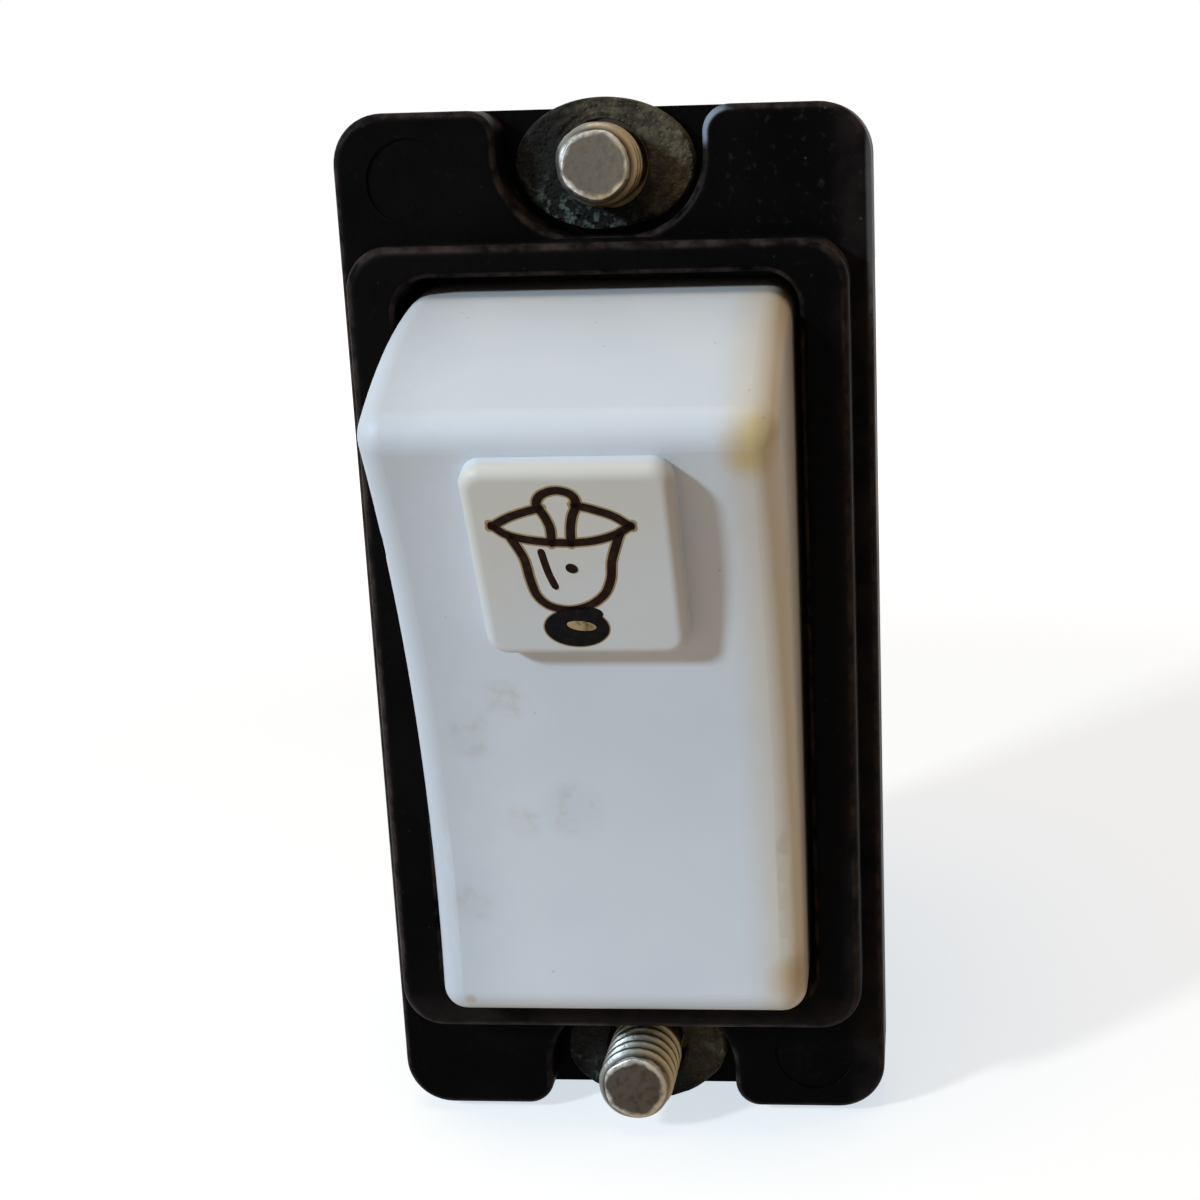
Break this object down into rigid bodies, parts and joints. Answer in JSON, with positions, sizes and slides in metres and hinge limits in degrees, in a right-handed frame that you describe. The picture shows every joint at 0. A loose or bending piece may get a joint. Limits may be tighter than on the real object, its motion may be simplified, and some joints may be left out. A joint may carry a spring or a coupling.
{
  "type": "doorbell switch",
  "caption": "Piano-type bell push: a sprung white rocker key with a raised pad, in a black bordered frame with end pockets and fixing screws.",
  "frame": {"origin": "midway between the two fixing screws, on the flange's front face, which bears on the board", "axes": "-Y is the way the key faces, +Z runs from the lower to the upper fixing screw, +X to the right"},
  "size_m": [0.023, 0.0326, 0.0472],
  "materials": {
    "black_phenolic": "compression moulded, satin, dusty",
    "white_urea": "moulded, semi-gloss, aged",
    "screw_steel": "worn plating, stained thread",
    "corroded_washer": "corroded, granular",
    "plated_steel": "zinc plated",
    "spring_steel": "drawn wire",
    "brass": "stamped strip",
    "contact_silver": "pressed silver alloy"
  },
  "bodies": {
    "base": {"front_frame": "black_phenolic", "rear_case": "black_phenolic", "case_screws": "plated_steel", "pivot_pin": "plated_steel", "return_spring": "spring_steel", "upper_fixing_screw": "screw_steel", "lower_fixing_screw": "screw_steel", "upper_washer": "corroded_washer", "lower_washer": "corroded_washer", "left_terminal": "brass", "left_fixed_contact": "contact_silver", "left_terminal_screw": "plated_steel", "left_clamp_plate": "plated_steel", "right_terminal": "brass", "right_fixed_contact": "contact_silver", "right_terminal_screw": "plated_steel", "right_clamp_plate": "plated_steel"},
    "key": {"rocker_key": "white_urea", "contact_bridge": "brass", "contact_spring": "spring_steel", "bridge_pin": "brass", "left_moving_contact": "contact_silver", "right_moving_contact": "contact_silver"}
  },
  "joints": [
    {"name": "key_press", "type": "hinge", "parent": "base", "child": "key", "pos_m": [0, 0.001, 0], "axis": [-1, 0, 0], "range_deg": [0, 7.5], "stiffness_Nm_per_rad": 0.077, "springref_deg": -14.9, "deforming": ["return_spring"]}
  ]
}
